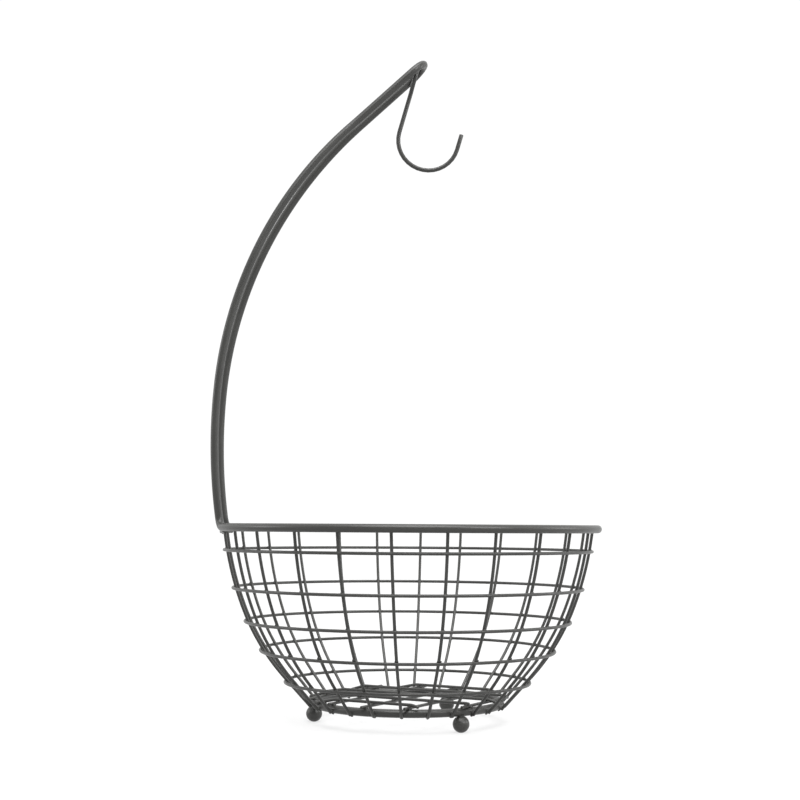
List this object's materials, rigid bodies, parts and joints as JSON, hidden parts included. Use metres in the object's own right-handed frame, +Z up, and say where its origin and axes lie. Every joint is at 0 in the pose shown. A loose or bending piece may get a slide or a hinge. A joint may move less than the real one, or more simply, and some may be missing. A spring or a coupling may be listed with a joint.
{
  "type": "fruit basket",
  "caption": "Round wire fruit basket on ball feet, with a tall bent-rod mast that arches over the bowl and carries an open hook for a bunch of bananas.",
  "frame": {"origin": "on the table, under the middle of the bowl, in the plane that the ball feet rest on", "axes": "+Z up along the bowl's axis; the mast stands on the -X side and arches over towards +X"},
  "size_m": [0.2823, 0.28, 0.4877],
  "materials": {
    "powder_coat": "charcoal powder coat, half matt"
  },
  "bodies": {
    "root": {"frame_rod": "powder_coat", "bridge_wire": "powder_coat", "rib_wire_01": "powder_coat", "rib_wire_02": "powder_coat", "rib_wire_03": "powder_coat", "rib_wire_04": "powder_coat", "rib_wire_05": "powder_coat", "rib_wire_06": "powder_coat", "rib_wire_07": "powder_coat", "rib_wire_08": "powder_coat", "rib_wire_09": "powder_coat", "rib_wire_10": "powder_coat", "rib_wire_11": "powder_coat", "rib_wire_12": "powder_coat", "rib_wire_13": "powder_coat", "rib_wire_14": "powder_coat", "rib_wire_15": "powder_coat", "rib_wire_16": "powder_coat", "rib_wire_17": "powder_coat", "rib_wire_18": "powder_coat", "rib_wire_19": "powder_coat", "rib_wire_20": "powder_coat", "rib_wire_21": "powder_coat", "rib_wire_22": "powder_coat", "rib_wire_23": "powder_coat", "rib_wire_24": "powder_coat", "hoop_1": "powder_coat", "hoop_2": "powder_coat", "hoop_3": "powder_coat", "hoop_4": "powder_coat", "hoop_5": "powder_coat", "base_ring": "powder_coat", "floor_wire_lower_1": "powder_coat", "floor_wire_lower_2": "powder_coat", "floor_wire_lower_3": "powder_coat", "floor_wire_lower_4": "powder_coat", "floor_wire_lower_5": "powder_coat", "floor_wire_upper_1": "powder_coat", "floor_wire_upper_2": "powder_coat", "floor_wire_upper_3": "powder_coat", "floor_wire_upper_4": "powder_coat", "floor_wire_upper_5": "powder_coat", "ball_foot_1": "powder_coat", "ball_foot_2": "powder_coat", "ball_foot_3": "powder_coat", "hook": "powder_coat"}
  },
  "joints": []
}
